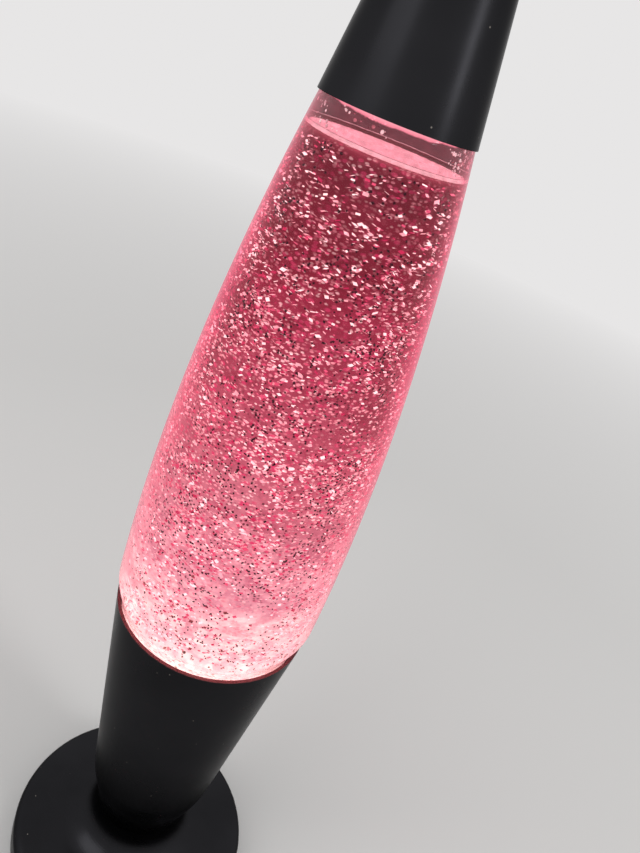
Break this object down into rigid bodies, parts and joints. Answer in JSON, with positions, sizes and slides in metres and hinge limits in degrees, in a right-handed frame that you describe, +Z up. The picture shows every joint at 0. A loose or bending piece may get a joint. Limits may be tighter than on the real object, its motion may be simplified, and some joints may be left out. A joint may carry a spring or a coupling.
{
  "type": "liquid motion lamp",
  "caption": "Free-standing liquid motion lamp: a tall glass bottle of glittering pink liquid stands in a waisted metal base over a bulb, under a lift-off metal cone cap.",
  "frame": {"origin": "on the lamp's axis, on the surface that it stands on", "axes": "+Z up along the lamp's axis; -Y is the front and the cord bush is at the back, on +Y"},
  "size_m": [0.112, 0.1135, 0.43],
  "materials": {
    "gunmetal": "smooth satin dark metallic",
    "bottle_glass": "clear polished",
    "pink_liquid": "clear dyed liquid, lit from below",
    "glitter": "mirror foil",
    "crown_metal": "lacquered tinplate",
    "soft_liner": "matt",
    "black_rubber": "matt",
    "zinc_steel": "zinc plated",
    "holder_plastic": "moulded",
    "brass": "drawn",
    "bulb_glass": "frosted",
    "bulb_cap_metal": "rolled",
    "black_insulator": "vitreous",
    "filament_wire": "bare wire"
  },
  "bodies": {
    "base": {"base_shell": "gunmetal", "seat_ring": "black_rubber", "bottom_cover": "zinc_steel", "cover_tabs": "zinc_steel", "cover_screws": "zinc_steel", "foot_ring": "black_rubber", "cord_bush": "black_rubber", "holder_bracket": "zinc_steel", "bracket_screws": "zinc_steel", "holder_body": "holder_plastic", "holder_nut": "brass", "holder_shell": "brass", "holder_contact": "brass"},
    "bulb_tip": {"bulb_tip": "zinc_steel"},
    "bulb": {"bulb_insulator": "black_insulator", "bulb_screw_cap": "bulb_cap_metal", "bulb_envelope": "bulb_glass", "bulb_stem": "bulb_glass", "bulb_leads": "filament_wire", "bulb_filament": "filament_wire"},
    "bottle": {"bottle_glass": "bottle_glass", "liquid_fill": "pink_liquid", "glitter_flakes": "glitter", "crown_closure": "crown_metal", "crown_liner": "soft_liner"},
    "cap": {"cap_shell": "gunmetal"}
  },
  "joints": [
    {"name": "bottle_lift", "type": "slide", "parent": "base", "child": "bottle", "axis": [0, 0, 1], "range_m": [0, 0.1]},
    {"name": "cap_lift", "type": "slide", "parent": "bottle", "child": "cap", "axis": [0, 0, 1], "range_m": [0, 0.055]},
    {"name": "bulb_rise", "type": "slide", "parent": "base", "child": "bulb_tip", "axis": [0, 0, 1], "range_m": [0, 0.0115]},
    {"name": "bulb_turn", "type": "hinge", "parent": "bulb_tip", "child": "bulb", "pos_m": [0, 0, 0.05], "axis": [0, 0, 1], "range_deg": [0, 1440]}
  ],
  "couplings": [
    {"joint": "bulb_rise", "follows": "bulb_turn", "m_per_rad": 0.00044913}
  ]
}
